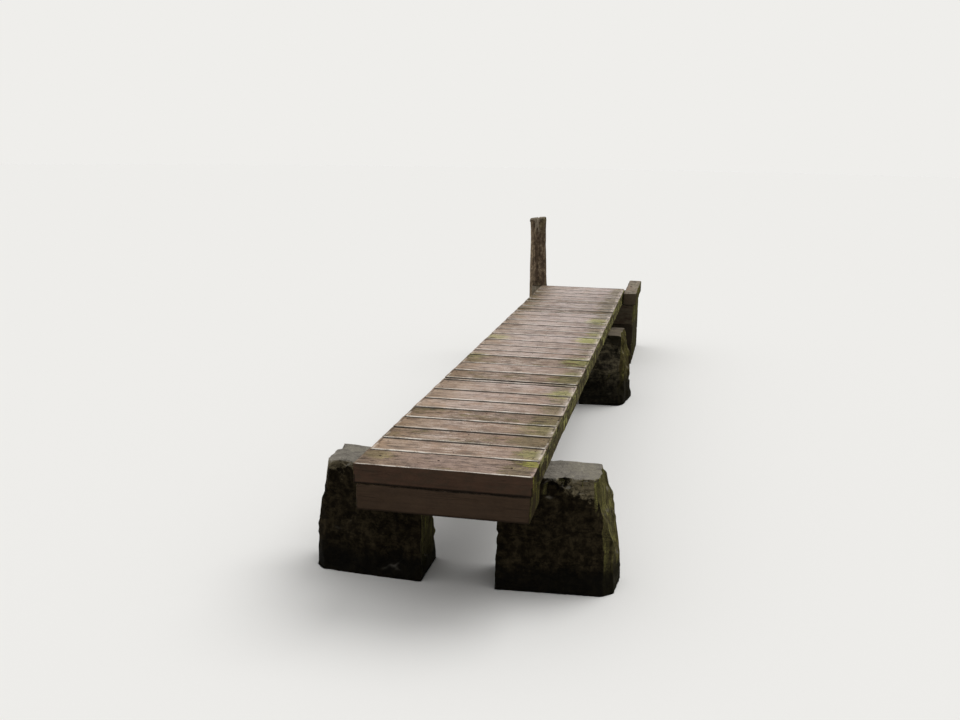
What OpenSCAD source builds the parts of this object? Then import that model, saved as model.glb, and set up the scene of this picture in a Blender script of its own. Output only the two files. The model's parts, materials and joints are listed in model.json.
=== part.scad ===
// A plank footbridge on three stringers. Its near end rests on two rough stones,
// its middle on two stone piers and its far end on a crib of squared timbers.
// X runs across the deck, Y along it away from the near end, and Z is up from the floor.

/* [Deck] */
// Length of the deck, with the beam that closes its near end
deck_l = 6480; // [5700:10:7300]
// Width of the deck, which is the length of a plank
deck_w = 914; // [800:1:1100]
// Height of the deck's top above the floor
deck_h = 780; // [600:1:1100]
// Thickness of a plank
plank_t = 38; // [30:1:50]
// Difference in width between the usual plank and a wide one
plank_spread = 50; // [0:1:70]
// Gap between planks
plank_gap = 11; // [3:0.5:14]
// Worn edge of a plank
plank_arris = 4; // [1:0.5:6]
// Depth that a plank's top has hollowed in its middle
plank_cup = 1.5; // [0:0.5:4]
// How far a plank's end may stop short of the deck's edge
plank_stagger = 3; // [0:0.5:8]
// Width of the strip that fills the wide joint
filler_w = 45; // [20:1:90]

/* [End beam and near sill] */
// Width of the beam that closes the near end of the deck
end_beam_w = 245; // [150:1:320]
// Height of that beam
end_beam_h = 105; // [70:1:110]
// Worn edge of that beam
end_beam_arris = 7; // [2:1:20]
// Height of the sill under the end beam
near_sill_h = 140; // [90:1:200]
// How much further back than the end beam the sill reaches, which seats the stringers
near_sill_seat = 85; // [40:1:140]
// How far the sill stops short of the deck's edge at each side
near_sill_inset = 10; // [0:1:60]

/* [Stringers] */
// Width of a stringer
stringer_w = 90; // [70:1:140]
// Height of a stringer
stringer_h = 95; // [85:1:160]
// Worn edge of a stringer
stringer_arris = 4; // [1:1:12]
// Gap between the end beam and the stringers' near ends
stringer_gap = 3; // [1:1:10]

/* [Near stones] */
// Distance from the deck's near edge to the near stones
near_stone_y = 395; // [360:1:600]
// Length of a near stone along the bridge
near_stone_l = 335; // [250:1:500]
// How far the top of a near stone reaches beyond the deck's edge
near_stone_reach = 300; // [120:1:400]
// How far the top of a near stone reaches in under the deck
near_stone_in = 260; // [150:1:330]
// How much further out the foot stands than the top
near_stone_batter = 105; // [20:1:160]
// How much further forward the foot stands than the top, in ledges
near_stone_toe = 26; // [10:1:60]

/* [Far piers] */
// Length of a pier along the bridge
pier_l = 430; // [300:1:600]
// How far the top of a pier reaches beyond the deck's edge
pier_reach = 118; // [30:1:240]
// How far the top of a pier reaches in under the deck
pier_in = 250; // [150:1:330]
// How much further out the foot stands than the top
pier_batter = 90; // [20:1:140]
// How much further forward the foot stands than the top, in ledges
pier_toe = 48; // [20:1:80]

/* [Far crib and post] */
// Clear distance between the piers and the crib
crib_span = 1320; // [900:1:1600]
// Width of a crib timber
crib_w = 215; // [180:1:240]
// Depth of the sills along the bridge
crib_sill_l = 280; // [180:1:360]
// How far the sills reach beyond the deck's right edge
crib_reach = 118; // [80:1:200]
// How far the courses under the top one stand back in front
crib_step = 40; // [0:5:80]
// Length of the wing timbers behind the deck's far end
wing_l = 820; // [500:1:1200]
// Worn edge of a crib timber
crib_arris = 8; // [2:1:16]
// Width of the kerb beside the deck's far end
kerb_w = 138; // [100:1:180]
// How far the kerb's top lies below the deck's top
kerb_drop = 8; // [0:1:40]
// Diameter of the post at its foot
post_foot_d = 266; // [220:1:300]
// Diameter of the post at its top
post_top_d = 172; // [140:1:200]
// Height of the post at the middle of its top
post_h = 1515; // [1250:1:1900]
// How far the post leans outwards, in degrees
post_lean = 2.7; // [0:0.1:5]
// How far the post's top slopes down outwards, in degrees
post_slope = 7.4; // [0:0.1:15]

/* [Hidden] */
// Width of each plank from the near end, in shares of plank_spread over plank_w
plank_mix = [0, -0.3, -0.2, 0, 0, 0.3, 0.8, 0.3, 0.5, 1, -0.8, -0.6, 0.1, 0.5,
             -0.1, 0.1, 0, 0.9, -0.7, -1.4, -1.4, 1, -1.2, 0.8, -0.4, -0.1, 0.4];
plank_count = len(plank_mix);
// The filler strip lies before the plank of this number, counted from 0
filler_at = 7;
cup_steps = 6;
// How far a stringer's face lies inside the shortest plank's end
stringer_set_in = 1;

plank_z = deck_h - plank_t;
stringer_z = plank_z - stringer_h;
end_beam_z = deck_h - end_beam_h;
near_sill_z = end_beam_z - near_sill_h;
edge_x = deck_w / 2;

function total(list, n) = n <= 0 ? 0 : list[n - 1] + total(list, n - 1);
gaps_l = (plank_count + 1) * plank_gap;
boards_l = deck_l - end_beam_w - filler_w - gaps_l;
// Width of the usual plank
plank_w = (boards_l - plank_spread * total(plank_mix, plank_count)) / plank_count;
widths = [for (share = plank_mix) plank_w + plank_spread * share];
overall_l = deck_l + wing_l;

// The origin lies under the middle of the whole bridge
near_y = -overall_l / 2;
far_y = near_y + deck_l;
first_y = near_y + end_beam_w + plank_gap;
stone_y = near_y + near_stone_y;
crib_y = far_y - crib_sill_l;
pier_y = crib_y - crib_span - pier_l;
wing_y = far_y + wing_l;

stringer_y = near_y + end_beam_w + stringer_gap;
stringer_face_x = edge_x - plank_stagger - stringer_set_in;
stringer_side_x = stringer_face_x - stringer_w / 2;

// Rough blocks: points on the curved side, and the power of its curve
block_steps = 8;
block_curve = 2;
// How much of its depth a ledge in front keeps up to the next, and how uneven the ledges are
ledge_keep = 0.6;
ledge_uneven = 0.25;
// How far each kind of block is skewed in front, splayed at its corner and broken off there
near_stone_ledges = 3;
near_stone_skew = 38;
near_stone_splay = 20;
near_stone_cut = 34;
pier_ledges = 5;
pier_skew = 24;
pier_splay = 43;
pier_cut = 26;

crib_courses = 3;
crib_h = stringer_z / crib_courses;
crib_right_x = edge_x + crib_reach;
crib_left_reach = 22;
crib_left_x = -edge_x - crib_left_reach;
wing_x = crib_right_x - crib_w;
kerb_gap = 5;
kerb_x = edge_x + kerb_gap;
kerb_short = 60;

// The foot of the post: how far it lies out from the deck's left edge and behind its end
post_out = 7;
post_x = -edge_x - post_out;
post_seat = 86;
post_y = far_y + post_seat;
// How much longer the log is before its ends are sawn
post_spare = 40;
// How far a cutting solid runs past what it cuts
cut_past = 1;

plank_names = [for (i = [0 : plank_count - 1]) str("plank_", i < 9 ? "0" : "", i + 1)];

// A steady irregular value from -1 to 1 for the piece i and its feature k
function wobble(i, k) = sin(i * 137.5 + k * 71.3 + 20);

// The corners of a rectangle from the origin with all four corners cut by a
function worn_rectangle(w, h, a) = [
    [a, 0], [w - a, 0], [w, a], [w, h - a],
    [w - a, h], [a, h], [0, h - a], [0, a]
];

// Extrudes an outline in Y and Z along X, from x0 to x1
module along_x(x0, x1) {
    translate([x0, 0, 0])
        rotate([90, 0, 90])
            linear_extrude(height = x1 - x0)
                children();
}

// Extrudes an outline in X and Z along Y, from y0 to y1
module along_y(y0, y1) {
    translate([0, y1, 0])
        rotate([90, 0, 0])
            linear_extrude(height = y1 - y0)
                children();
}

// A squared timber lying across the bridge
module cross_timber(x0, x1, y, z, w, h, arris) {
    along_x(x0, x1)
        translate([y, z])
            polygon(worn_rectangle(w, h, arris));
}

// A squared timber lying along the bridge
module long_timber(x, y0, y1, z, w, h, arris) {
    along_y(y0, y1)
        translate([x, z])
            polygon(worn_rectangle(w, h, arris));
}

// The section of a plank: worn edges, and a top that is lowest in the middle
function plank_section(w) = concat(
    [[0, 0], [w, 0], [w, plank_t - plank_arris]],
    [for (i = [0 : cup_steps])
        let (s = 1 - i / cup_steps)
        [plank_arris + s * (w - 2 * plank_arris), plank_t - plank_cup * 4 * s * (1 - s)]],
    [[0, plank_t - plank_arris]]
);

function plank_y(i) = first_y + total(widths, i) + i * plank_gap
    + (i < filler_at ? 0 : filler_w + plank_gap);

module board(y, w, i) {
    short_left = plank_stagger * (1 + wobble(i, 1)) / 2;
    short_right = plank_stagger * (1 + wobble(i, 2)) / 2;
    along_x(-edge_x + short_left, edge_x - short_right)
        translate([y, plank_z])
            polygon(plank_section(w));
}

module plank(i) {
    color("#8a8378") board(plank_y(i), widths[i], i);
}

module filler_strip() {
    filler_y = plank_y(filler_at) - plank_gap - filler_w;
    color("#6f665a") board(filler_y, filler_w, plank_count);
}

module near_end_beam() {
    color("#5b5047")
        cross_timber(-edge_x, edge_x, near_y, end_beam_z, end_beam_w, end_beam_h, end_beam_arris);
}

// The sill carries the end beam, and a rebate along its back carries the stringers
module near_sill() {
    half = edge_x - near_sill_inset;
    sill_w = end_beam_w + near_sill_seat;
    color("#4d443c")
        difference() {
            cross_timber(-half, half, near_y, near_sill_z, sill_w, near_sill_h, end_beam_arris);
            translate([-deck_w, near_y + end_beam_w, stringer_z])
                cube([2 * deck_w, near_sill_seat + cut_past, near_sill_h]);
        }
}

module stringer(x) {
    color("#5d5c46")
        long_timber(x - stringer_w / 2, stringer_y, far_y, stringer_z,
                    stringer_w, stringer_h, stringer_arris);
}

// The outline of a rough block from the front: upright inside, and curved out to its foot
function block_front(in_x, out_x, batter) = concat(
    [[in_x, 0]],
    [for (i = [0 : block_steps])
        let (s = i / block_steps)
        [out_x + batter * (1 - pow(s, block_curve)), s * stringer_z]],
    [[in_x, stringer_z]]
);

// Its outline from above, whose front right corner is set back and broken off
function block_above(in_x, foot_x, y, l, toe, skew, splay, cut) = [
    [in_x, y - toe],
    [foot_x - splay - 2 * cut, y + skew - toe],
    [foot_x - splay, y + skew + cut],
    [foot_x, y + l - cut],
    [foot_x - 2 * cut, y + l + toe / 2],
    [in_x, y + l]
];

// Its outline from the side: uneven ledges go back up the front, and the back slopes a little
function ledge_z(k, n) = stringer_z * (k + (k > 0 && k < n ? ledge_uneven * wobble(k, n) : 0)) / n;
function block_side(y, l, toe, n) = concat(
    [for (k = [0 : n - 1])
        each [[y - toe * (n - k) / n, ledge_z(k, n)],
              [y - toe * (n - k - 1 + ledge_keep) / n, ledge_z(k + 1, n)]]],
    [[y + l - toe / 4, stringer_z], [y + l, stringer_z / 2], [y + l + toe / 2, 0]]
);

// A rough block for the right side, with each of its three outlines cut through the others
module rough_block(in_x, out_x, batter, y, l, toe, n, skew, splay, cut) {
    foot_x = out_x + batter;
    intersection() {
        along_y(y - l, y + 2 * l) polygon(block_front(in_x, out_x, batter));
        linear_extrude(height = stringer_z)
            polygon(block_above(in_x, foot_x, y, l, toe, skew, splay, cut));
        along_x(0, foot_x + cut) polygon(block_side(y, l, toe, n));
    }
}

module near_stone() {
    color("#6d6a60")
        rough_block(edge_x - near_stone_in, edge_x + near_stone_reach, near_stone_batter,
                    stone_y, near_stone_l, near_stone_toe, near_stone_ledges,
                    near_stone_skew, near_stone_splay, near_stone_cut);
}

module far_pier() {
    color("#5f5b50")
        rough_block(edge_x - pier_in, edge_x + pier_reach, pier_batter,
                    pier_y, pier_l, pier_toe, pier_ledges,
                    pier_skew, pier_splay, pier_cut);
}

// The sills of the odd courses run through to the crib's right side. In the even course
// the wing timber runs through to the front, and the sill stops against it.
function runs_through(course) = course % 2 == 1;
function course_y(course) = crib_y + (course < crib_courses ? crib_step : 0);

module far_sill(course) {
    right_x = runs_through(course) ? crib_right_x : wing_x;
    color("#54483d")
        cross_timber(crib_left_x, right_x, course_y(course), (course - 1) * crib_h,
                     far_y - course_y(course), crib_h, crib_arris);
}

module far_wing(course) {
    front_y = runs_through(course) ? far_y : course_y(course);
    color("#54483d")
        long_timber(wing_x, front_y, wing_y, (course - 1) * crib_h, crib_w, crib_h, crib_arris);
}

module far_kerb() {
    color("#4f463b")
        long_timber(kerb_x, crib_y, wing_y - kerb_short, stringer_z,
                    kerb_w, deck_h - kerb_drop - stringer_z, crib_arris);
}

// A round log that leans outwards, a little longer than it is used
module leaning_log() {
    taper = (post_foot_d - post_top_d) / post_h;
    translate([post_x, post_y, 0])
        rotate([0, -post_lean, 0])
            translate([0, 0, -post_spare])
                cylinder(h = post_h + 2 * post_spare, d1 = post_foot_d + taper * post_spare,
                         d2 = post_top_d - taper * post_spare, $fn = 48);
}

// The log is sawn level at its foot and aslant at its top, and it is hewn flat
// up to the deck where it is spiked to the sills
module far_post() {
    color("#5a5145")
        difference() {
            intersection() {
                leaning_log();
                translate([post_x - post_h, post_y - post_h, 0])
                    cube(2 * post_h);
            }
            translate([post_x - post_h * tan(post_lean), post_y - post_h, post_h])
                rotate([0, -post_slope, 0])
                    translate([-post_h, 0, 0])
                        cube([2 * post_h, 2 * post_h, 4 * post_spare]);
            translate([post_x - post_h, far_y - post_foot_d, -cut_past])
                cube([2 * post_h, post_foot_d, deck_h + cut_past]);
        }
}

near_end_beam();
near_sill();
filler_strip();
for (i = [0 : plank_count - 1])
    plank(i);
stringer(-stringer_side_x);  // stringer_left
stringer(0);  // stringer_centre
stringer(stringer_side_x);  // stringer_right
mirror([1, 0, 0]) near_stone();  // near_stone_left
near_stone();  // near_stone_right
mirror([1, 0, 0]) far_pier();  // far_pier_left
far_pier();  // far_pier_right
far_sill(1);  // far_sill_1
far_sill(2);  // far_sill_2
far_sill(3);  // far_sill_3
far_wing(1);  // far_wing_1
far_wing(2);  // far_wing_2
far_wing(3);  // far_wing_3
far_kerb();
far_post();
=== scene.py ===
"""The finished look of a plank footbridge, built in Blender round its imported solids.

Every piece of the bridge is remade here with worn edges, grain, bark and broken stone, inside
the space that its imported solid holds. The solids give each piece its place and its size.
"""

import json
import logging
import math
from dataclasses import asdict, dataclass
from enum import Enum
from typing import Any, Callable, Dict, List, Optional, Sequence, Tuple, Union

import bmesh
import bpy
import numpy as np
from mathutils import Matrix, Vector
from mathutils.bvhtree import BVHTree

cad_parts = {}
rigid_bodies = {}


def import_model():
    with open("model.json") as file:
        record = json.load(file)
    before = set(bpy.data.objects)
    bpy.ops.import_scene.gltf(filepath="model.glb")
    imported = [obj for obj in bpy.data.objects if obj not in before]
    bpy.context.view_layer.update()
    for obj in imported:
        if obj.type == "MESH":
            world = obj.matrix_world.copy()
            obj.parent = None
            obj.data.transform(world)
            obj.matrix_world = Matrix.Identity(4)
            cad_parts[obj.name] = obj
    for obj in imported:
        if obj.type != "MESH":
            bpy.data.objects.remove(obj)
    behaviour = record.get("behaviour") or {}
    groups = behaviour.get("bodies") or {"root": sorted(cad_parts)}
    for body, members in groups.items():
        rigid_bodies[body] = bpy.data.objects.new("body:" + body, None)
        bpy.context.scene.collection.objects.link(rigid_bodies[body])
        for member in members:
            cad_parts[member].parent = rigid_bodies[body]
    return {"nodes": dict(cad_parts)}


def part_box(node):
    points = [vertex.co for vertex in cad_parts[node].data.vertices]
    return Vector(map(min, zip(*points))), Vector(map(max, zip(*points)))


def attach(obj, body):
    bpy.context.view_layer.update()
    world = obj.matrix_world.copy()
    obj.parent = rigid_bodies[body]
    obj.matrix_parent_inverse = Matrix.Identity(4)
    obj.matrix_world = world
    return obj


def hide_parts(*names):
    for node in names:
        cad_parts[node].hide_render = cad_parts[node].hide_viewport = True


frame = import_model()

log = logging.getLogger("footbridge")

Number = Union[float, int, "Value"]
Range = Tuple[float, float]
Triple = Tuple[float, float, float]
Colour = str  # A screen colour, as six hexadecimal digits.
Surface = Tuple["Value", Number, "Value"]  # Colour, roughness and height of the relief.

BODY = "root"
NEAR_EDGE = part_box("near_end_beam")[0].y
PATCH_HEIGHT = 0.76  # Middle of a patch of moss, just under the deck's top.
RINGS = 1300.0  # Growth rings, in radians for each metre from the pith.
FACING = (0.35, 0.85)  # Where a direction begins to count for a face, and where it counts fully.
HIGH_ABOVE = 5.0  # Where a ray starts that looks for the top of a piece.
MERGE = 1e-5  # Points of a solid that lie closer than this are one.


def tint(code: Colour) -> Tuple[float, ...]:
    """Turns a screen colour into the linear colour that a shader takes.

    Args:
        code: Red, green and blue as hexadecimal digits.

    Returns:
        The linear colour, with an alpha of 1.
    """
    parts = [int(code[i : i + 2], 16) / 255 for i in (0, 2, 4)]
    linear = [c / 12.92 if c <= 0.04045 else ((c + 0.055) / 1.055) ** 2.4 for c in parts]
    return (*linear, 1.0)


class Lie(Enum):
    """The direction in which a timber lies, as its turn from X."""

    ACROSS = 0.0
    ALONG = math.pi / 2


def operator(operation: str, reflected: bool = False) -> Callable[..., "Value"]:
    """Makes a Python operator that adds a Math node.

    Args:
        operation: The node's operation.
        reflected: Whether the value is the operator's second side.

    Returns:
        The operator, as a method of Value.
    """

    def act(value: "Value", *others: Number) -> "Value":
        """Adds the node on a value and what stands beside it."""
        return value.graph.math(operation, *((*others, value) if reflected else (value, *others)))

    return act


class Value:
    """A number on a node's socket. Python's operators on it add Math nodes."""

    __add__ = __radd__ = operator("ADD")
    __mul__ = __rmul__ = operator("MULTIPLY")
    __sub__, __rsub__ = operator("SUBTRACT"), operator("SUBTRACT", reflected=True)
    __truediv__, __rtruediv__ = operator("DIVIDE"), operator("DIVIDE", reflected=True)
    __abs__ = operator("ABSOLUTE")

    def __init__(self, graph: "Graph", socket: bpy.types.NodeSocket) -> None:
        """Wraps one output socket of the graph."""
        self.graph = graph
        self.socket = socket

    def smooth(self, start: Number, end: Number) -> "Value":
        """Turns the value into 0 before start and 1 after end, with a soft step between."""
        sockets = {"Value": self, "From Min": start, "From Max": end}
        return self.graph.value("ShaderNodeMapRange", sockets, interpolation_type="SMOOTHSTEP")


class Graph:
    """Builds one node tree, for a material, a world or Geometry Nodes."""

    def __init__(self, tree: bpy.types.NodeTree) -> None:
        """Takes a tree and empties it."""
        self.tree = tree
        tree.nodes.clear()

    def node(
        self, kind: str, sockets: Optional[Dict[Any, Any]] = None, **settings: Any
    ) -> bpy.types.Node:
        """Adds a node.

        Args:
            kind: Blender's name of the node type.
            sockets: A value or a link for each input, by its name or number.
            settings: The node's own settings, which are set before its sockets.

        Returns:
            The new node.
        """
        made = self.tree.nodes.new(kind)
        for name, setting in settings.items():
            setattr(made, name, setting)
        for key, given in (sockets or {}).items():
            if isinstance(given, Value):
                self.tree.links.new(given.socket, made.inputs[key])
            else:
                made.inputs[key].default_value = given
        return made

    def value(
        self, kind: str, sockets: Optional[Dict[Any, Any]] = None, output: Any = 0, **settings: Any
    ) -> Value:
        """Adds a node and returns one of its outputs, by name or number."""
        return Value(self, self.node(kind, sockets, **settings).outputs[output])

    def math(self, operation: str, *parts: Number) -> Value:
        """Adds a Math node on up to three numbers."""
        return self.value("ShaderNodeMath", dict(enumerate(parts)), operation=operation)

    def clipped(self, number: Value) -> Value:
        """Keeps a number between 0 and 1."""
        return self.value("ShaderNodeClamp", {"Value": number})

    def vector(self, operation: str, *parts: Any, output: int = 0) -> Value:
        """Adds a Vector Math node."""
        sockets = dict(enumerate(parts))
        return self.value("ShaderNodeVectorMath", sockets, output, operation=operation)

    def split(self, whole: Value) -> Tuple[Value, ...]:
        """Splits a vector into its three numbers."""
        return tuple(Value(self, s) for s in self.node("ShaderNodeSeparateXYZ", {0: whole}).outputs)

    def join(self, x: Number, y: Number, z: Number) -> Value:
        """Joins three numbers into a vector."""
        return self.value("ShaderNodeCombineXYZ", {0: x, 1: y, 2: z})

    def spread(self, number: Value) -> Value:
        """Gives a vector the same number three times."""
        return self.join(number, number, number)

    def blend(self, factor: Number, first: Any, second: Any, mode: str = "MIX") -> Value:
        """Mixes two colours.

        Args:
            factor: How much of the second one shows.
            first: The colour at a factor of 0.
            second: The colour at a factor of 1.
            mode: Blender's name of the way to mix.

        Returns:
            The mixed colour.
        """
        first, second = (tint(c) if isinstance(c, str) else c for c in (first, second))
        sockets = {0: factor, 6: first, 7: second}
        return self.value("ShaderNodeMix", sockets, 2, data_type="RGBA", blend_type=mode)

    def shaded(self, colour: Value, shade: Value, least: float) -> Value:
        """Multiplies a colour by a shade that never falls under the least one."""
        return self.blend(1.0, colour, self.math("MAXIMUM", shade, least), "MULTIPLY")

    def waves(self, phase: Value) -> Value:
        """Turns a phase in radians into waves from 0 to 1."""
        return self.math("SINE", phase) * 0.5 + 0.5

    def varied(self, *noises: Tuple[Value, float], start: Number = 0.0) -> Value:
        """Adds to a start how far noises stray from their mean, each times its strength."""
        return sum(((noise - 0.5) * strength for noise, strength in noises), start)

    def noise(
        self,
        place: Value,
        stretch: Union[float, Triple],
        shift: Number = 0.0,
        detail: float = 3.0,
        rough: float = 0.55,
    ) -> Value:
        """Adds smooth noise from 0 to 1 with a mean of one half.

        Args:
            place: The coordinates, in metres.
            stretch: Waves for each metre, one number or one for each direction.
            shift: Picks another pattern.
            detail: Number of finer layers.
            rough: Strength of the finer layers.

        Returns:
            The noise.
        """
        steps = stretch if isinstance(stretch, tuple) else (stretch,) * 3
        sockets = {"Vector": self.vector("MULTIPLY", place, steps), "W": shift, "Scale": 1.0}
        sockets.update({"Detail": detail, "Roughness": rough})
        return self.value("ShaderNodeTexNoise", sockets, noise_dimensions="4D")


class Shading(Graph):
    """The node tree of one material, with the inputs that all finishes share."""

    def __init__(self, name: str) -> None:
        """Makes the material and its shader inputs.

        Args:
            name: The material's name.
        """
        self.material = bpy.data.materials.new(name)
        self.material.use_nodes = True
        super().__init__(self.material.node_tree)
        self.place = self.value("ShaderNodeTexCoord", output="Object")
        self.normal = self.value("ShaderNodeNewGeometry", output="Normal")

    def attributes(self, *names: str, output: str = "Fac") -> List[Value]:
        """Reads what the mesh carries at each point under some names."""
        return [self.value("ShaderNodeAttribute", None, output, attribute_name=n) for n in names]


@dataclass(frozen=True, kw_only=True)
class Finish:
    """What all finishes share. The name is also the record's slot, and bump is in metres."""

    name: str
    gloss: float = 0.03
    bump: float = 0.0024

    def build(self) -> bpy.types.Material:
        """Builds the material.

        Returns:
            The material.
        """
        g = Shading(self.name)
        colour, rough, height = self.paint(g)
        bump = g.value("ShaderNodeBump", {"Height": height, "Distance": self.bump}, "Normal")
        sockets = {"Base Color": colour, "Roughness": rough, "Normal": bump}
        sockets["Specular IOR Level"] = self.gloss
        shader = g.value("ShaderNodeBsdfPrincipled", sockets)
        g.node("ShaderNodeOutputMaterial", {"Surface": shader})
        return g.material

    def paint(self, g: Shading) -> Surface:
        """Makes the surface in the material's tree. Each kind of finish has its own way."""
        raise NotImplementedError


@dataclass(frozen=True)
class MossPatch:
    """A place on the deck where moss has settled, with y in metres from the deck's near edge."""

    x: float
    y: float
    reach: float
    strength: float


@dataclass(frozen=True, kw_only=True)
class WoodFinish(Finish):
    """Weathered wood: trodden on top, damp at the sides, mossy on its right-hand side, with painted
    highlights and shadow lines along its edges and painted shade in its joints.

    It reads the attributes that a timber's mesh carries: timber, the place inside the piece
    with X along the grain, arris and end_gap, the distance to the nearest edge and end, and
    piece and tone, two numbers of its own. Each range runs from where something begins to
    where it is full: greying and far_stretch along the bridge, the edges and the tread across
    it, off_end and end_face from the timber's end, and crack from a line in the grain.
    """

    brown: Colour
    grey: Colour
    side: Colour
    worn: Colour
    # Line along the top arris: where pale, a painted highlight; where dark, dirt and a painted
    # shadow line.
    arris_light_and_shade: Colour = "201b14"
    stain: Colour = "4a3c31"
    # Dark colour for dirt and cracks, for painted shade in the joints, and for the darker lower
    # edges and lower courses.
    dirt_and_shade: Colour = "1d1813"
    ruddy: Colour = "83634c"
    ochre: Colour = "96805f"
    algae: Colour = "6b6540"
    damp: Colour = "3a321d"
    moss: Colour = "8a884a"
    greying: Range = (-3.6, 2.8)
    far_stretch: Range = (-0.7, 2.2)
    left_edge: Range = (-0.22, -0.44)
    right_edge: Range = (0.2, 0.4)
    lit_edge: Range = (0.455, 0.43)
    # Where the pale right end of the top begins, partly bleached wood and partly a painted
    # highlight.
    pale_edge: Range = (0.405, 0.438)
    tread_middle: float = -0.04
    tread: Range = (0.42, 0.1)
    off_end: Range = (0.004, 0.02)
    end_face: Range = (0.0025, 0.0008)
    crack: Range = (0.01, 0.002)
    knots: Triple = (3.2, 6.0, 6.0)
    contrast: float = 1.0
    side_contrast: float = 0.55
    top_moss: float = 0.0
    side_moss: float = 0.0
    # Moss along the upper arris of the side faces, partly a painted highlight; a negative strength
    # paints a shadow line there.
    arris_moss_and_shade: float = 0.5
    bleach_and_highlight: float = 0.0
    left_stain: float = 0.0
    band: float = 0.012
    # How much darker the lower edges of the side faces turn.
    low_edge_dark: float = 0.6
    # Strength of the dark band along the joints, partly dirt and partly painted shade.
    joint_shade_and_dirt: float = 0.0
    # With an open front, only the back face gets the painted gap shade.
    open_front: bool = False
    walked: float = 0.0
    darker_below: float = 0.0
    # Height below which the timber turns darker.
    patches: Tuple[MossPatch, ...] = ()

    def paint(self, g: Shading) -> Surface:
        """Paints the wood.

        Args:
            g: The material's tree.

        Returns:
            Its colour, roughness and height.
        """
        (grain,) = g.attributes("timber", output="Vector")
        piece, tone, arris, end_gap = g.attributes("piece", "tone", "arris", "end_gap")
        _, across, upward = g.split(grain)
        place_x, place_y, place_z = g.split(g.place)
        normal_x, normal_y, normal_z = g.split(g.normal)
        top, right = normal_z.smooth(*FACING), normal_x.smooth(*FACING)

        cloud = g.noise(grain, (2.2, 5.0, 5.0), piece * 1.7, 3.0, 0.55)
        blotch = g.noise(grain, (11.0, 26.0, 26.0), piece * 2.9, 6.0, 0.7)
        streak = g.noise(grain, (4.0, 70.0, 70.0), piece * 2.3 + 5.0, 4.0, 0.68)
        fibre = g.noise(grain, (14.0, 260.0, 260.0), piece, 3.0, 0.65)
        grit = g.noise(g.place, 140.0, 1.0, 4.0, 0.72)
        spread = g.noise(g.place, 6.5, piece * 0.3, 5.0, 0.62)
        mottle = g.noise(grain, (15.0, 20.0, 20.0), piece * 0.8 + 31.0, 6.0, 0.72)
        figure = g.noise(grain, (0.8, 9.0, 9.0), piece * 2.1 + 3.0, 1.0, 0.4)
        rings = g.waves(figure * 90.0)
        crack_line = g.noise(grain, (1.4, 40.0, 40.0), piece * 1.3 + 9.0, 1.0, 0.4)
        near_end = end_gap.smooth(0.2, 0.0)
        strength = top * (self.contrast - self.side_contrast) + self.side_contrast
        crack = abs(crack_line - 0.5).smooth(*self.crack) * strength
        crack = crack * (cloud + near_end * 0.22).smooth(0.54, 0.62)

        left = place_x.smooth(*self.left_edge) * place_y.smooth(*self.far_stretch) * 0.8
        greyed = g.varied((cloud, 1.6), (tone, 0.5), start=place_y.smooth(*self.greying))
        greyed = greyed - left * 0.9
        trodden = g.blend(g.clipped(greyed), self.brown, self.grey)
        warm = g.noise(g.place, 10.0, piece * 0.4 + 13.0, 5.0, 0.66)
        trodden = g.blend(warm.smooth(0.5, 0.58) * 0.36, trodden, self.ruddy)
        trodden = g.blend(place_x.smooth(-0.1, -0.42) * 0.32, trodden, self.ochre)
        colour = g.blend(top, g.blend(blotch.smooth(0.42, 0.62), self.side, self.stain), trodden)

        fine = g.noise(g.place, 90.0, 0.0, 3.0, 0.6)
        film = g.noise(grain, (8.0, 28.0, 28.0), piece * 0.9, 8.0, 0.75)
        outer = place_x.smooth(*self.right_edge) * (place_x.smooth(*self.lit_edge) * 0.6 + 0.4)
        spreading = (outer * 1.2 + left) * 0.14 + film * 0.6 + spread * 0.4 - (tone - 0.5) * 0.1
        algae = spreading.smooth(0.555, 0.62) * self.top_moss * top
        lush = (fine * 0.5 + film * 0.5).smooth(0.53, 0.58) * 0.4
        colour = g.blend(algae * 0.62, colour, g.blend(lush, self.algae, self.moss))
        for patch in self.patches:
            centre = (patch.x, NEAR_EDGE + patch.y, PATCH_HEIGHT)
            away = g.vector("DISTANCE", g.place, centre, output=1)
            cover = away.smooth(patch.reach, 0.0) * 0.24 + film * 0.55 + fine * 0.45
            cover = cover.smooth(0.58, 0.63) * away.smooth(patch.reach * 1.3, patch.reach * 0.8)
            colour = g.blend(cover * patch.strength, colour, self.moss)

        shade = g.varied((cloud, 0.8), (blotch, 1.4), (streak, 1.6), (fibre, 0.8))
        shade = g.varied((grit, 1.2), (rings, 0.12), (mottle, 2.0), start=shade) * strength
        shade = g.varied((tone, 0.34), start=shade) + 1.0 - left * 0.3
        colour = g.shaded(colour, shade, 0.1)
        soiled = (blotch * 0.4 + streak * 0.3 + mottle * 0.3).smooth(0.535, 0.58) * strength
        colour = g.blend(soiled * 0.55, colour, self.stain)
        spots = g.vector("ADD", g.vector("MULTIPLY", grain, self.knots), g.spread(piece * 3.7))
        knot = g.value("ShaderNodeTexVoronoi", {"Vector": spots, "Scale": 1.0}, "Distance")
        colour = g.blend(knot.smooth(0.2, 0.12) * strength * 0.6, colour, self.stain)
        if self.walked:
            tread = abs(place_x - self.tread_middle).smooth(*self.tread) * top
            tread = tread * (1.0 - algae) * self.walked
            scuffed = (blotch * 0.4 + streak * 0.35 + grit * 0.25).smooth(0.5, 0.56)
            colour = g.blend(tread * (scuffed * 0.8 + 0.1), colour, self.worn)
        if self.left_stain:
            darkened = place_x.smooth(-0.32, -0.4) * top * (blotch.smooth(0.4, 0.5) * 0.5 + 0.5)
            colour = g.blend(darkened * self.left_stain, colour, self.stain)
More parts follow.
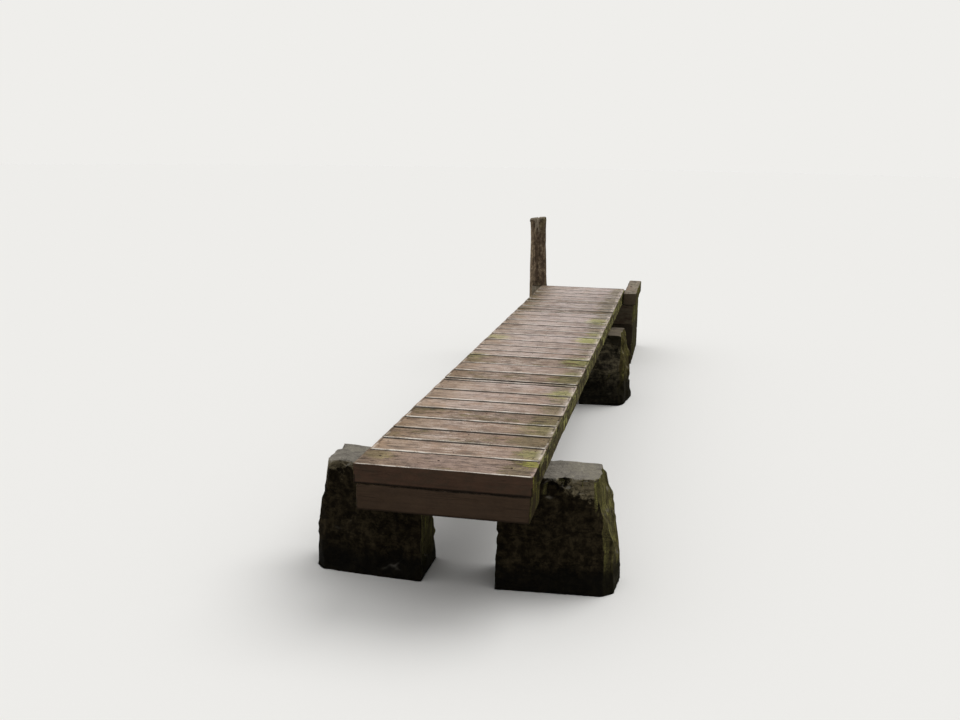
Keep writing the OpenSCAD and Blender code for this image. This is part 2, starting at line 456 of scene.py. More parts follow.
        # Partly bleached wood and partly a painted highlight: the right end of each plank's top and
        # the upper arris of its end face turn pale.
        if self.bleach_and_highlight:
            pale_top = place_x.smooth(*self.pale_edge) * top * tone.smooth(0.1, 0.4) * (1.0 - algae * 0.3)
            pale_top = pale_top * (spread * 0.4 + blotch * 0.6).smooth(0.42, 0.5)
            rim = end_gap.smooth(0.012, 0.003) * upward.smooth(0.006, 0.013) * right
            rim = rim * (blotch * 0.5 + grit * 0.5).smooth(0.42, 0.5) * 1.3
            colour = g.blend(g.math("MAXIMUM", pale_top, rim) * self.bleach_and_highlight, colour, self.worn)

        chipped = g.noise(grain, (14.0, 30.0, 30.0), piece * 0.7, 3.0)
        ragged = arris + (chipped - 0.5) * self.band * 0.7
        edge = ragged.smooth(self.band, self.band * 0.4)
        low_edge = edge * upward.smooth(0.0, -0.01)
        off_end = end_gap.smooth(*self.off_end)
        edge = edge * upward.smooth(-0.005, 0.005) * off_end
        edge = edge * (0.3 + (blotch * 0.6 + grit * 0.4).smooth(0.44, 0.54) * 0.7)
        edge = edge * (0.5 + cloud.smooth(0.43, 0.52) * 0.5)
        # Darker along the lower edges of the side faces.
        colour = g.blend(low_edge * self.low_edge_dark * (1.0 - top), colour, self.dirt_and_shade)
        # Painted shade in the joints, partly dirt: a dark band along each timber's far top arris.
        if self.joint_shade_and_dirt:
            far_side = across.smooth(0.0, 0.02)
            joint_shade_and_grime = ragged.smooth(self.band * 0.95, self.band * 0.6) * far_side * top * off_end
            colour = g.blend(joint_shade_and_grime * self.joint_shade_and_dirt, colour, self.dirt_and_shade)
            edge = edge * (1.0 - far_side) * (1.0 - abs(normal_y).smooth(0.9, 0.98))
        # Painted highlight along the near top arris where the line colour is pale; dirt and a
        # painted shadow line where it is dark.
        colour = g.blend(edge * 0.95, colour, self.arris_light_and_shade)
        # Painted shade inside the joints: faces that face the next timber turn dark.
        if self.joint_shade_and_dirt:
            facing = normal_y if self.open_front else abs(normal_y)
            painted_gap_shade = facing.smooth(0.5, 0.9) * arris.smooth(0.001, 0.006)
            colour = g.blend(painted_gap_shade, colour, self.dirt_and_shade)
        colour = g.blend(crack * 0.85, colour, self.dirt_and_shade)

        pith = g.vector("ADD", grain, g.join(0.0, tone * 0.06 - 0.03, tone * 0.05 - 0.06))
        radius = g.vector("LENGTH", g.vector("MULTIPLY", pith, (0.0, 1.0, 1.0)), output=1)
        end_rings = g.waves(radius * RINGS + blotch * 6.0)
        end_wood = g.blend(end_rings * 0.5 + fibre * 0.4, self.side, self.stain)
        end_face = end_gap.smooth(*self.end_face)
        colour = g.blend(end_face * 0.8, colour, end_wood)

        running = g.noise(g.place, (18.0, 14.0, 12.0), piece * 0.3, 7.0, 0.74)
        # Upper arris of the side faces: brighter moss, partly a painted highlight; a negative
        # strength makes it a painted shadow line under the plank ends.
        arris_light_and_shade = arris.smooth(0.02, 0.004) * upward.smooth(-0.045, -0.02) * self.arris_moss_and_shade
        growth = running * 0.4 + fine * 0.25 + spread * 0.35 + arris_light_and_shade * 0.06
        growth = growth + place_y.smooth(-1.5, 2.0) * 0.022
        wet = g.blend(running.smooth(0.45, 0.56), self.damp, self.algae)
        wet = g.blend(growth.smooth(0.53, 0.57), wet, self.moss)
        # The damp side colour is lighter on paler boards and towards the far end.
        lighter_far_and_pale = tone * 0.36 + place_y.smooth(-0.6, 2.2) * 0.18 + 0.78
        wet = g.blend(1.0, wet, lighter_far_and_pale, "MULTIPLY")
        left_side = normal_x.smooth(-0.35, -0.85) * running.smooth(0.42, 0.58) * 0.55
        colour = g.blend((right + left_side) * self.side_moss, colour, wet)
        # Darker towards the bottom, below the given height.
        if self.darker_below:
            ragged_height = place_z + (spread - 0.5) * 0.2
            darkened = ragged_height.smooth(self.darker_below, self.darker_below * 0.8)
            colour = g.blend(darkened * 0.62, colour, self.dirt_and_shade)

        green = g.clipped(algae + right * growth.smooth(0.5, 0.6))
        height = fibre * 0.35 + streak * 0.45 + blotch * 0.3 + fine * green * 0.6 - crack * 1.2
        rough = 0.66 + (blotch - 0.5) * 0.5 + green * 0.2 + right * 0.3
        return colour, rough, height + end_rings * end_face * 0.3


@dataclass(frozen=True, kw_only=True)
class BarkFinish(Finish):
    """Weathered bark with painted light, paler on its left side and at its outline, with a sawn top
    whose rings show.

    The mesh carries groove, how deep the bark is cut at a point, cut, 1 on sawn wood, and
    radius, the distance from the log's axis.
    """

    # Pale bark colour, partly painted light on the post's left side.
    lit_ridge: Colour = "b5a085"
    furrow: Colour = "3b3026"
    shaded: Colour = "57493c"
    lichen: Colour = "a9a48c"
    moss: Colour = "63643a"
    sawn: Colour = "b8ac98"
    sawn_dark: Colour = "62564a"
    gloss: float = 0.04
    bump: float = 0.005

    def paint(self, g: Shading) -> Surface:
        """Paints the bark and the sawn top.

        Args:
            g: The material's tree.

        Returns:
            Their colour, roughness and height.
        """
        groove, cut, radius = g.attributes("groove", "cut", "radius")
        _, _, height_above = g.split(g.place)
        normal_x, _, _ = g.split(g.normal)
        patchy = g.noise(g.place, (18.0, 18.0, 13.0), 3.0, 5.0, 0.66)
        flake = g.noise(g.place, (40.0, 40.0, 34.0), 1.0, 6.0, 0.75)
        speck = g.noise(g.place, 130.0, 2.0, 2.0)

        # Painted light: paler on the left side and at the outline, a little darker higher up, mixed
        # with the bark's own patches.
        lit = patchy * 1.1 - normal_x * 0.2 + abs(normal_x) * 0.24 - height_above * 0.07 + 0.1
        bark = g.blend(lit.smooth(0.48, 1.15), self.shaded, self.lit_ridge)
        bark = g.blend(groove.smooth(0.3, 0.9) * 0.6, bark, self.furrow)
        shade = g.varied((flake, 2.8), (patchy, 1.1), (speck, 2.4)) + 1.0
        bark = g.shaded(bark, shade, 0.15)
        crust = (patchy * 0.35 + flake * 0.65).smooth(0.55, 0.6) * groove.smooth(0.6, 0.2)
        bark = g.blend(crust * 0.5, bark, self.lichen)
        low = height_above.smooth(0.95, 0.3) * 0.7 + height_above.smooth(1.3, 1.5) * 0.35
        mossy = (low + normal_x * 0.15) * (patchy * 0.5 + speck * 0.5).smooth(0.46, 0.56)
        bark = g.blend(g.clipped(mossy), bark, self.moss)

        rings = g.waves(g.varied((patchy, 0.02), start=radius) * RINGS)
        wood = g.blend(rings * 0.45 + flake.smooth(0.4, 0.7) * 0.4, self.sawn, self.sawn_dark)
        wood = g.blend(patchy.smooth(0.52, 0.66) * 0.5, wood, self.moss)
        colour = g.blend(cut, bark, wood)
        height = flake * 0.8 + speck * 0.2 + rings * cut * 0.3
        return colour, 0.85, height


@dataclass(frozen=True, kw_only=True)
class StoneFinish(Finish):
    """Rough stone: weathered paler near its top, dark below, mossy at its right-hand side.

    The mesh carries rim, how sharply it bends outwards, and hollow, how it bends inwards.
    """

    base: Colour
    dark: Colour
    weathered: Colour
    top: Colour
    rim: Colour
    side: Colour
    moss: Colour = "5a5632"
    bright_moss: Colour = "9a9756"
    wet: Colour = "0d0c09"
    side_moss: float = 0.75
    top_moss: float = 0.15
    darker_below: float = 0.3
    rim_height: float = 0.5
    bedding: float = 0.3
    bare_from: float = 0.0
    fissure: Range = (0.01, 0.003)
    bump: float = 0.007
    seed: float = 0.0

    def paint(self, g: Shading) -> Surface:
        """Paints the stone.

        Args:
            g: The material's tree.

        Returns:
            Its colour, roughness and height.
        """
        rim, hollow = g.attributes("rim", "hollow")
        place_x, _, height_above = g.split(g.place)
        normal_x, _, normal_z = g.split(g.normal)
        cloud = g.noise(g.place, 4.0, self.seed, 4.0, 0.6)
        mottle = g.noise(g.place, 24.0, self.seed + 4.0, 8.0, 0.72)
        beds = g.noise(g.place, (7.0, 7.0, 46.0), self.seed + 2.0, 6.0, 0.7)
        grit = g.noise(g.place, 190.0, self.seed + 8.0, 3.0, 0.75)
        streaks = g.noise(g.place, (36.0, 36.0, 4.0), self.seed + 6.0, 5.0, 0.68)
        up = normal_z.smooth(0.4, 0.8)
        right = normal_x.smooth(0.45, 0.75) * (1.0 - up)

        layered = beds * (self.bedding * 0.6) + mottle * (1.0 - self.bedding * 0.6)
        colour = g.blend(layered.smooth(0.44, 0.58), self.dark, self.base)
        upper = g.varied((mottle, 0.35), (cloud, 0.3), start=height_above)
        if self.bare_from:
            upper = upper + g.math("MINIMUM", abs(place_x) - self.bare_from, 0.1) * 0.5
        bare = upper.smooth(self.rim_height, self.rim_height + 0.05)
        colour = g.blend(bare, colour, self.weathered)
        colour = g.blend(right, colour, self.side)
        colour = g.blend(up * (1.0 - hollow.smooth(0.1, 0.4)), colour, self.top)
        shade = g.varied((mottle, 2.2), (grit, 1.6), (cloud, 0.8), start=1.0)
        streaked = g.varied((streaks, 1.2)) + (beds - 0.5) * 1.8 * self.bedding
        shade = shade + streaked * (1.0 - up)
        colour = g.shaded(colour, shade, 0.15)
        speckled = (grit * 0.5 + mottle * 0.5).smooth(0.57, 0.62) * up
        colour = g.blend(speckled * 0.45, colour, self.rim)
        broken = rim.smooth(0.3, 0.75) * (mottle * 0.5 + grit * 0.5).smooth(0.44, 0.56)
        broken = broken * height_above.smooth(self.rim_height, self.rim_height + 0.12)
        colour = g.blend(broken * 0.8, colour, self.rim)
        colour = g.blend(hollow.smooth(0.25, 0.9) * 0.6, colour, self.wet)
        fissure = abs(g.noise(g.place, (3.0, 3.0, 9.0), self.seed + 11.0, 5.0, 0.6) - 0.5)
        colour = g.blend(fissure.smooth(*self.fissure) * (1.0 - up) * 0.45, colour, self.wet)

        growth = streaks * 0.45 + cloud * 0.2 + grit * 0.35
        cover = right * self.side_moss * growth.smooth(0.46, 0.54)
        cover = cover + up * self.top_moss * (cloud * 0.5 + mottle * 0.5).smooth(0.5, 0.56)
        cover = g.clipped(cover) * (0.3 + height_above.smooth(0.05, 0.35) * 0.7)
        lush = (grit * 0.4 + streaks * 0.6).smooth(0.53, 0.58)
        green = g.blend(lush, self.moss, self.bright_moss)
        colour = g.blend(cover * 0.9, colour, green)

        ragged_height = g.varied((cloud, 0.25), (mottle, 0.1), start=height_above)
        darkened = ragged_height.smooth(self.darker_below, self.darker_below * 0.4) * (1.0 - up * 0.4)
        colour = g.blend(darkened * 0.86, colour, self.wet)
        rough = 0.9 - darkened * 0.2 * (1.0 - right)
        height = mottle * 0.7 + grit * 0.25 + streaks * 0.2 + beds * self.bedding * 0.5
        return colour, rough, height - fissure.smooth(0.015, 0.003) * 0.4


@dataclass(frozen=True, kw_only=True)
class IronFinish(Finish):
    """Hand-driven iron that has rusted dark."""

    rust: Colour = "4a3226"
    black: Colour = "1f1b19"
    gloss: float = 0.3
    bump: float = 0.0006

    def paint(self, g: Shading) -> Surface:
        """Paints the iron.

        Args:
            g: The material's tree.

        Returns:
            Its colour, roughness and height.
        """
        scale = g.noise(g.place, 220.0, 0.0, 4.0, 0.7)
        colour = g.blend(scale.smooth(0.4, 0.62), self.black, self.rust)
        return colour, 0.7 + scale * 0.2, scale


def evaluated(piece: bpy.types.Object) -> bpy.types.Mesh:
    """Evaluates an object's modifiers.

    Args:
        piece: The object.

    Returns:
        A plain mesh of the object as its modifiers leave it.
    """
    bpy.context.view_layer.update()
    graph = bpy.context.evaluated_depsgraph_get()
    return bpy.data.meshes.new_from_object(
        piece.evaluated_get(graph), preserve_all_data_layers=True, depsgraph=graph
    )


def add_piece(name: str, data: bpy.types.ID) -> bpy.types.Object:
    """Adds an object at the origin.

    Args:
        name: The object's name.
        data: The mesh, camera or lamp.

    Returns:
        The object.
    """
    piece = bpy.data.objects.new(name, data)
    bpy.context.scene.collection.objects.link(piece)
    return piece


def seat(piece: bpy.types.Object, node: str = "") -> None:
    """Fixes a finished piece to the bridge and lets it stand for its solid.

    Args:
        piece: The finished piece.
        node: The solid that it replaces, where there is one.
    """
    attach(piece, BODY)
    if node:
        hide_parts(node)
    log.info("%s: %d faces", piece.name, len(piece.data.polygons))


def on_top(piece: bpy.types.Object, x: float, y: float) -> Optional[Vector]:
    """Finds the point of a piece's top straight under or over a place.

    Args:
        piece: The piece, in its place.
        x: Place across the bridge.
        y: Place along it.

    Returns:
        The point, or None where the piece isn't there.
    """
    points = [v.co for v in piece.data.vertices]
    tree = BVHTree.FromPolygons(points, [tuple(p.vertices) for p in piece.data.polygons])
    return tree.ray_cast(Vector((x, y, HIGH_ABOVE)), Vector((0.0, 0.0, -1.0)))[0]


class Pattern:
    """A Geometry Nodes tree with named inputs that makes one kind of piece."""

    def __init__(self, name: str, inputs: Dict[str, Any]) -> None:
        """Makes the tree and its inputs.

        Args:
            name: The tree's name.
            inputs: Each input's name and usual value. A whole number makes a whole input.
        """
        self.tree = bpy.data.node_groups.new(name, "GeometryNodeTree")
        face = self.tree.interface
        for way in ("INPUT", "OUTPUT"):
            face.new_socket("Geometry", in_out=way, socket_type="NodeSocketGeometry")
        self.ids: Dict[str, str] = {}
        for label, usual in inputs.items():
            kind = "NodeSocketInt" if isinstance(usual, int) else "NodeSocketFloat"
            made = face.new_socket(label, in_out="INPUT", socket_type=kind)
            made.default_value = usual
            self.ids[label] = made.identifier
        made = face.new_socket("material", in_out="INPUT", socket_type="NodeSocketMaterial")
        self.ids["material"] = made.identifier
        self.graph = Graph(self.tree)
        self.entry = self.graph.node("NodeGroupInput")

    def given(self, label: str) -> Value:
        """Returns the value of a named input."""
        return Value(self.graph, self.entry.outputs[label])

    def given_triple(self, label: str) -> Value:
        """Returns the vector of three inputs, whose names end in _x, _y and _z."""
        return self.graph.join(*(self.given(f"{label}_{axis}") for axis in "xyz"))

    def close(self, geometry: Value) -> None:
        """Ends the tree: instances made real, smooth faces, and the material.

        Args:
            geometry: The finished shape.
        """
        g = self.graph
        real = g.value("GeometryNodeRealizeInstances", {0: geometry})
        smooth = g.value("GeometryNodeSetShadeSmooth", {0: real})
        sockets = {"Geometry": smooth, "Material": self.given("material")}
        g.node("NodeGroupOutput", {0: g.value("GeometryNodeSetMaterial", sockets)})

    def run(
        self, name: str, inputs: Dict[str, Any], points: Sequence[Vector] = ()
    ) -> bpy.types.Object:
        """Runs the tree once and keeps the result as a plain mesh.

        Args:
            name: The new piece's name.
            inputs: A value for each input, the material among them.
            points: The points that the tree starts from.

        Returns:
            The new piece, without the modifier.
        """
        mesh = bpy.data.meshes.new(name)
        mesh.from_pydata([tuple(p) for p in points], [], [])
        piece = add_piece(name, mesh)
        modifier = piece.modifiers.new(self.tree.name, "NODES")
        modifier.node_group = self.tree
        for label, wanted in inputs.items():
            modifier[self.ids[label]] = wanted
        made = evaluated(piece)
        piece.modifiers.clear()
        piece.data = made
        made.name = name
        return piece


@dataclass(frozen=True)
class TimberWear:
    """How a squared timber has worn, and how finely it is cut. Lengths are in metres."""

    arris: float = 0.004
    cup: float = 0.0
    bow: float = 0.0015
    rough: float = 0.0012
    ends: float = 0.003
    cells_x: int = 72
    cells_y: int = 20
    cells_z: int = 5


class TimberPattern(Pattern):
    """Makes a worn squared timber: rounded edges, hollowed top, ragged ends, bowed sides.

    The tree builds it along X and then lays it in its place. It only takes wood away, so the
    timber stays inside the solid that it stands for.
    """

    EVEN = (0.25, 0.12, 0.25)
    CROWDED = (0.75, 0.88, 0.75)
    END_REACH = 0.05
    TOP = (0.4, 0.9)
    SIDE = (0.5, 0.95)

    def __init__(self) -> None:
        """Builds the tree."""
        spans = {f"{what}_{axis}": 0.0 for what in ("size", "place") for axis in "xyz"}
        own = dict.fromkeys(("turn", "near_drop", "far_drop", "piece", "tone"), 0.0)
        super().__init__("worn_timber", {**spans, **own, **asdict(TimberWear())})
        g = self.graph
        size = self.given_triple("size")
        self.half = g.vector("MULTIPLY", size, (0.5, 0.5, 0.5))
        cells = {f"Vertices {axis.upper()}": self.given(f"cells_{axis}") for axis in "xyz"}
        self.shape = g.value("GeometryNodeMeshCube", {"Size": size, **cells})
        self._crowd_edges()
        self._remember()
        self._wear()
        turn = g.value("FunctionNodeEulerToRotation", {0: g.join(0.0, 0.0, self.given("turn"))})
        place = self.given_triple("place")
        sockets = {"Geometry": self.shape, "Translation": place, "Rotation": turn}
        self.close(g.value("GeometryNodeTransform", sockets))

    def _move(self, place: Value) -> None:
        """Moves every point of the shape to its new place."""
        sockets = {"Geometry": self.shape, "Position": place}
        self.shape = self.graph.value("GeometryNodeSetPosition", sockets)

    def _crowd_edges(self) -> None:
        """Moves the cells of an even block closer together towards its edges."""
        g = self.graph
        share = g.vector("DIVIDE", g.value("GeometryNodeInputPosition"), self.half)
        bent = g.vector("SINE", g.vector("MULTIPLY", share, (math.pi / 2,) * 3))
        even = g.vector("MULTIPLY", share, self.EVEN)
        mixed = g.vector("ADD", even, g.vector("MULTIPLY", bent, self.CROWDED))
        self._move(g.vector("MULTIPLY", mixed, self.half))

    def _store(self, name: str, number: Value, kind: str = "FLOAT") -> None:
        """Keeps a value at every point.

        Args:
            name: The name under which the finish reads it.
            number: The value.
            kind: Blender's name of its type.
        """
        sockets = {"Geometry": self.shape, "Name": name, "Value": number}
        node = "GeometryNodeStoreNamedAttribute"
        self.shape = self.graph.value(node, sockets, data_type=kind, domain="POINT")

    def _remember(self) -> None:
        """Stores each point's place in the timber and its distance to edges and ends."""
        g = self.graph
        place = g.value("GeometryNodeInputPosition")
        gap_x, gap_y, gap_z = g.split(g.vector("SUBTRACT", self.half, g.vector("ABSOLUTE", place)))
        nearest = g.math("MINIMUM", gap_x, gap_y)
        other = g.math("MINIMUM", g.math("MAXIMUM", gap_x, gap_y), gap_z)
        self._store("timber", place, "FLOAT_VECTOR")
        self._store("arris", g.math("MAXIMUM", nearest, other))
        self._store("end_gap", gap_x)
        self._store("piece", self.given("piece"))
        self._store("tone", self.given("tone"))

    def _wear(self) -> None:
        """Rounds the edges unevenly and wears the faces in."""
        g = self.graph
        piece = self.given("piece")
        place = g.value("GeometryNodeInputPosition")
        x, y, z = g.split(place)
        half_x, half_y, _ = g.split(self.half)
        at_end = (half_x - abs(x)).smooth(self.END_REACH, 0.0)
        chips = g.noise(place, (6.0, 14.0, 14.0), piece + 3.0, 2.0)
        radius = self.given("arris") * (0.35 + chips.smooth(0.3, 0.8) * (1.5 + at_end * 0.2))
        inner = g.vector("SUBTRACT", self.half, g.spread(radius))
        core = g.vector("MINIMUM", place, inner)
        core = g.vector("MAXIMUM", core, g.vector("MULTIPLY", inner, (-1.0, -1.0, -1.0)))
        outward = g.vector("NORMALIZE", g.vector("SUBTRACT", place, core))
        out_x, out_y, out_z = g.split(outward)
        top = out_z.smooth(*self.TOP)
        side, end = (abs(out).smooth(*self.SIDE) for out in (out_y, out_x))

        bow = g.noise(g.join(x, g.math("SIGN", y), 0.0), (1.1, 3.0, 1.0), piece, 2.0, 0.5)
        grain = g.noise(place, (3.0, 26.0, 26.0), piece + 7.0, 3.0, 0.6)
        ragged = g.noise(g.join(g.math("SIGN", x), y, z), (3.0, 38.0, 16.0), piece + 11.0, 2.0)
        share = y / half_y
        hollow = (1.0 - share * share) * self.given("cup") * (bow * 0.8 + 0.6)
        near, far = self.given("near_drop"), self.given("far_drop")
        drop = near + (far - near) * (share * 0.5 + 0.5)
        depth = grain * self.given("rough") + bow.smooth(0.3, 0.75) * side * self.given("bow")
        depth = depth + top * (hollow + drop) + end * ragged * self.given("ends")
        self._move(g.vector("ADD", core, g.vector("MULTIPLY", outward, g.spread(radius - depth))))


@dataclass(frozen=True)
class HeadShape:
    """The head of a nail, spike or pin, in metres."""

    radius: float
    height: float
    sides: int = 10


class FastenerPattern(Pattern):
    """Sets a forged head on each point of a mesh, square to the timber and turned at random."""

    TOP_SHARE = 0.62
    TILT = 0.12
    SIZES = (0.85, 1.15)

    def __init__(self) -> None:
        """Builds the tree."""
        super().__init__("driven_heads", {**asdict(HeadShape(0.004, 0.0015)), "seed": 7})
        g = self.graph
        radius, seed = self.given("radius"), self.given("seed")
        sockets = {"Vertices": self.given("sides"), "Depth": self.given("height")}
        sockets.update({"Radius Top": radius * self.TOP_SHARE, "Radius Bottom": radius})
        head = g.value("GeometryNodeMeshCone", sockets, "Mesh")
        least, most = (-self.TILT, -self.TILT, 0.0), (self.TILT, self.TILT, math.tau)
        turns = {0: least, 1: most, "Seed": seed}
        turn = g.value("FunctionNodeRandomValue", turns, data_type="FLOAT_VECTOR")
        least, most = self.SIZES
        size = g.value("FunctionNodeRandomValue", {2: least, 3: most, "Seed": seed}, 1)
        sockets = {"Points": self.given("Geometry"), "Instance": head}
        sockets.update({"Rotation": turn, "Scale": size})
        self.close(g.value("GeometryNodeInstanceOnPoints", sockets))


class Workshop:
    """What the sub-assemblies share: the finishes by their names, and the two node patterns."""

    def __init__(self, finishes: Sequence[Finish]) -> None:
        """Builds the finishes and the patterns.

        Args:
            finishes: All the finishes of the bridge.
        """
        self.finishes = {finish.name: finish.build() for finish in finishes}
        self.timbers = TimberPattern()
        self.heads = FastenerPattern()

    def timber(
        self,
        node: str,
        slot: str,
        lie: Lie,
        wear: TimberWear,
        piece: int,
        drop: Range = (0.0, 0.0),
        tone: float = 0.5,
    ) -> bpy.types.Object:
        """Makes the timber that stands for one solid.

        Args:
            node: The solid, whose box the timber fills.
            slot: The name of its finish.
            lie: The direction of its grain.
            wear: How it has worn.
            piece: A number of its own, for its grain.
            drop: How far its top has sunk at its near and its far edge.
            tone: How pale its wood is, from 0 to 1.

        Returns:
            The new piece.
        """
        low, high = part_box(node)
        size, middle = high - low, (low + high) / 2
        if lie is Lie.ALONG:
            size.x, size.y = size.y, size.x
        spans = {f"size_{axis}": span for axis, span in zip("xyz", size)}
        spans.update({f"place_{axis}": place for axis, place in zip("xyz", middle)})
        own = {"turn": lie.value, "near_drop": drop[0], "far_drop": drop[1]}
        own.update({"piece": float(piece), "tone": tone, "material": self.finishes[slot]})
        name = "worn_" + node.removeprefix("near_")
        made = self.timbers.run(name, {**spans, **own, **asdict(wear)})
        seat(made, node)
        return made

    def drive(
        self, name: str, spots: Sequence[Optional[Vector]], head: HeadShape, seed: int
    ) -> None:
        """Makes all the heads of one kind.

        Args:
            name: The new piece's name.
            spots: Where the heads meet the wood, or None where there is no wood.
            head: The shape of one head.
            seed: Picks how the heads are turned.
        """
        iron = self.finishes["rusted_iron"]
        found = [spot for spot in spots if spot is not None]
        seat(self.heads.run(name, {**asdict(head), "seed": seed, "material": iron}, found))


class Grain:
    """Smooth seeded noise on arrays of points, for shapes that are worked in numpy."""

    SIZE = 32
    SHIFT = 7.3

    def __init__(self, seed: int) -> None:
        """Fills the lattice from a seed."""
        self.lattice = np.random.default_rng(seed).random((self.SIZE,) * 3)

    def layer(self, points: np.ndarray) -> np.ndarray:
        """Works out one layer of noise.

        Args:
            points: The places, one row each, in lattice steps.

        Returns:
            One number from 0 to 1 for each point.
        """
        base = np.floor(points).astype(int)
        part = points - base
        part = part * part * (3 - 2 * part)
        total = np.zeros(len(points))
        for corner in np.ndindex(2, 2, 2):
            at = (base + corner) % self.SIZE
            share = np.prod(np.where(np.array(corner) == 1, part, 1 - part), axis=1)
            total += share * self.lattice[at[:, 0], at[:, 1], at[:, 2]]
        return total

    def __call__(
        self, points: np.ndarray, stretch: Union[float, Triple], layers: int = 4
    ) -> np.ndarray:
        """Works out layered noise.

        Args:
            points: The places, one row each, in metres.
            stretch: Lattice steps for each metre, one number or one for each direction.
            layers: Number of layers, each twice as fine and half as strong.

        Returns:
            One number from about 0 to 1 for each point.
        """
        total, weight, strength = np.zeros(len(points)), 0.0, 1.0
        for k in range(layers):
            step = np.asarray(stretch, float) * 2**k
            total += strength * self.layer(points * step + self.SHIFT * k)
            weight += strength
            strength *= 0.5
        return total / weight


@dataclass(frozen=True)
class Chips:
    """Flat facets that have split off a block: how many, how deep, how wide and how askew."""

    count: int
    bite: float
    reach: float
    tilt: float


def read(items: Any, field: str, width: int, kind: type = float) -> np.ndarray:
    """Reads a field of a mesh's points or edges.

    Args:
        items: The points or edges.
        field: The field's name.
        width: How many numbers each item has.
        kind: The type of the numbers.

    Returns:
        One row of numbers for each item.
    """
    numbers = np.empty(len(items) * width, kind)
    items.foreach_get(field, numbers)
    return numbers.reshape(-1, width)


class Carving:
    """A fine mesh of one solid's surface, worked in from its faces."""

    REACHES = (0.4, 1.0)
    BITES = (0.2, 1.0)
    FALL = 2.5
    RIM = 5.0
    HOLLOW = 6.0

    def __init__(self, node: str, cell: float) -> None:
        """Copies the solid and cuts its surface into even cells.

        Args:
            node: The solid's name.
            cell: Width of a cell, in metres.
        """
        self.node = node
        self.cell = cell
        self.low, self.high = (np.array(corner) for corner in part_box(node))
        copy = frame["nodes"][node].data.copy()
        shell = bmesh.new()
        shell.from_mesh(copy)
        bmesh.ops.remove_doubles(shell, verts=shell.verts, dist=MERGE)
        shell.to_mesh(copy)
        shell.free()
        rough = add_piece(node + "_block", copy)
        remesh = rough.modifiers.new("cells", "REMESH")
        remesh.mode = "VOXEL"
        remesh.voxel_size = cell
        self.mesh = evaluated(rough)
        bpy.data.objects.remove(rough)
        self.points = read(self.mesh.vertices, "co", 3)
        self.start = self.points.copy()
        self.edges = read(self.mesh.edges, "vertices", 2, int)
        self.degree = np.bincount(self.edges.ravel(), minlength=len(self.points)).astype(float)

    def normals(self) -> np.ndarray:
        """Puts the points into the mesh.

        Returns:
            The outward direction at each point as the mesh now stands.
        """
        self.mesh.vertices.foreach_set("co", self.points.ravel())
        self.mesh.update()
        return read(self.mesh.vertex_normals, "vector", 3, np.float32).astype(float)

    def around(self, numbers: np.ndarray) -> np.ndarray:
        """Works out the mean of each point's neighbours.

        Args:
            numbers: One number or vector for each point.

        Returns:
            The means, in the same shape.
        """
        flat = numbers.reshape(len(numbers), -1)
        total = np.zeros_like(flat)
        for column in range(flat.shape[1]):
            for first, second in (self.edges.T, self.edges.T[::-1]):
                total[:, column] += np.bincount(first, flat[second, column], len(flat))
        return (total / self.degree[:, None]).reshape(numbers.shape)

    def press(self, depth: np.ndarray) -> None:
        """Moves each point inwards, and the lower ones never upwards.

        Args:
            depth: How far each point moves, in metres.
        """
        inward = -self.normals()
        inward[:, 2] = np.minimum(inward[:, 2], 0.0)
        self.points += inward * np.maximum(depth, 0.0)[:, None]

    def soften(self, times: int) -> None:
        """Evens the surface out a little."""
        for _ in range(times):
            self.points += 0.5 * (self.around(self.points) - self.points)

    def bend(self) -> np.ndarray:
        """Returns how far each point stands out from its neighbours, in cells."""
        out = np.einsum("ij,ij->i", self.points - self.around(self.points), self.normals())
        return out / self.cell

    def cleave(self, spots: np.ndarray, chips: Chips, seed: int) -> None:
        """Splits small flat facets off the block.

        Args:
            spots: The points where a facet may lie.
            chips: The kind of facets. Bite and reach are the greatest depth and radius.
            seed: Picks where they lie.
        """
        rng = np.random.default_rng(seed)
        facing = self.normals()
        for spot in rng.choice(spots, chips.count):
            away = facing[spot] + rng.normal(size=3) * chips.tilt
            away[2] = max(away[2], 0.0)
            away /= np.linalg.norm(away)
            gap = self.points - self.points[spot]
            radius = chips.reach * rng.uniform(*self.REACHES)
            fall = self.FALL - self.FALL * np.linalg.norm(gap, axis=1) / radius
            share = np.clip(fall, 0.0, 1.0)
            over = np.maximum(gap @ away + chips.bite * rng.uniform(*self.BITES), 0.0)
            self.points -= (over * share)[:, None] * away

    def bounded(self) -> None:
        """Keeps every point in the solid's box, with the foot flat on what it stands on."""
        self.points = np.clip(self.points, self.low, self.high)
        foot = self.start[:, 2] < self.low[2] + 0.6 * self.cell
        self.points[foot, 2] = self.low[2]

    def store(self, **fields: np.ndarray) -> None:
        """Keeps numbers or vectors at the points.

        Args:
            fields: One row for each point, by the name under which the finish reads it.
        """
        for name, numbers in fields.items():
            flat = numbers.ndim == 1
            kept = self.mesh.attributes.new(name, "FLOAT" if flat else "FLOAT_VECTOR", "POINT")
            kept.data.foreach_set("value" if flat else "vector", numbers.ravel())

    def store_bend(self) -> None:
        """Stores how sharply the surface bends outwards and inwards at each point."""
        bend = self.bend()
        for _ in range(2):
            bend = 0.5 * bend + 0.5 * self.around(bend)
        rim, hollow = np.clip(bend * self.RIM, 0.0, 1.0), np.clip(-bend * self.HOLLOW, 0.0, 1.0)
        self.store(rim=rim, hollow=hollow)

    def close(self, name: str, slot: str, shop: Workshop) -> None:
        """Closes the carving and lets it stand for its solid.

        Args:
            name: The new piece's name.
            slot: The name of its finish.
            shop: The shared finishes.
        """
        self.normals()
        self.mesh.name = name
        self.mesh.materials.clear()
        self.mesh.materials.append(shop.finishes[slot])
        self.mesh.polygons.foreach_set("use_smooth", [True] * len(self.mesh.polygons))
        seat(add_piece(name, self.mesh), self.node)


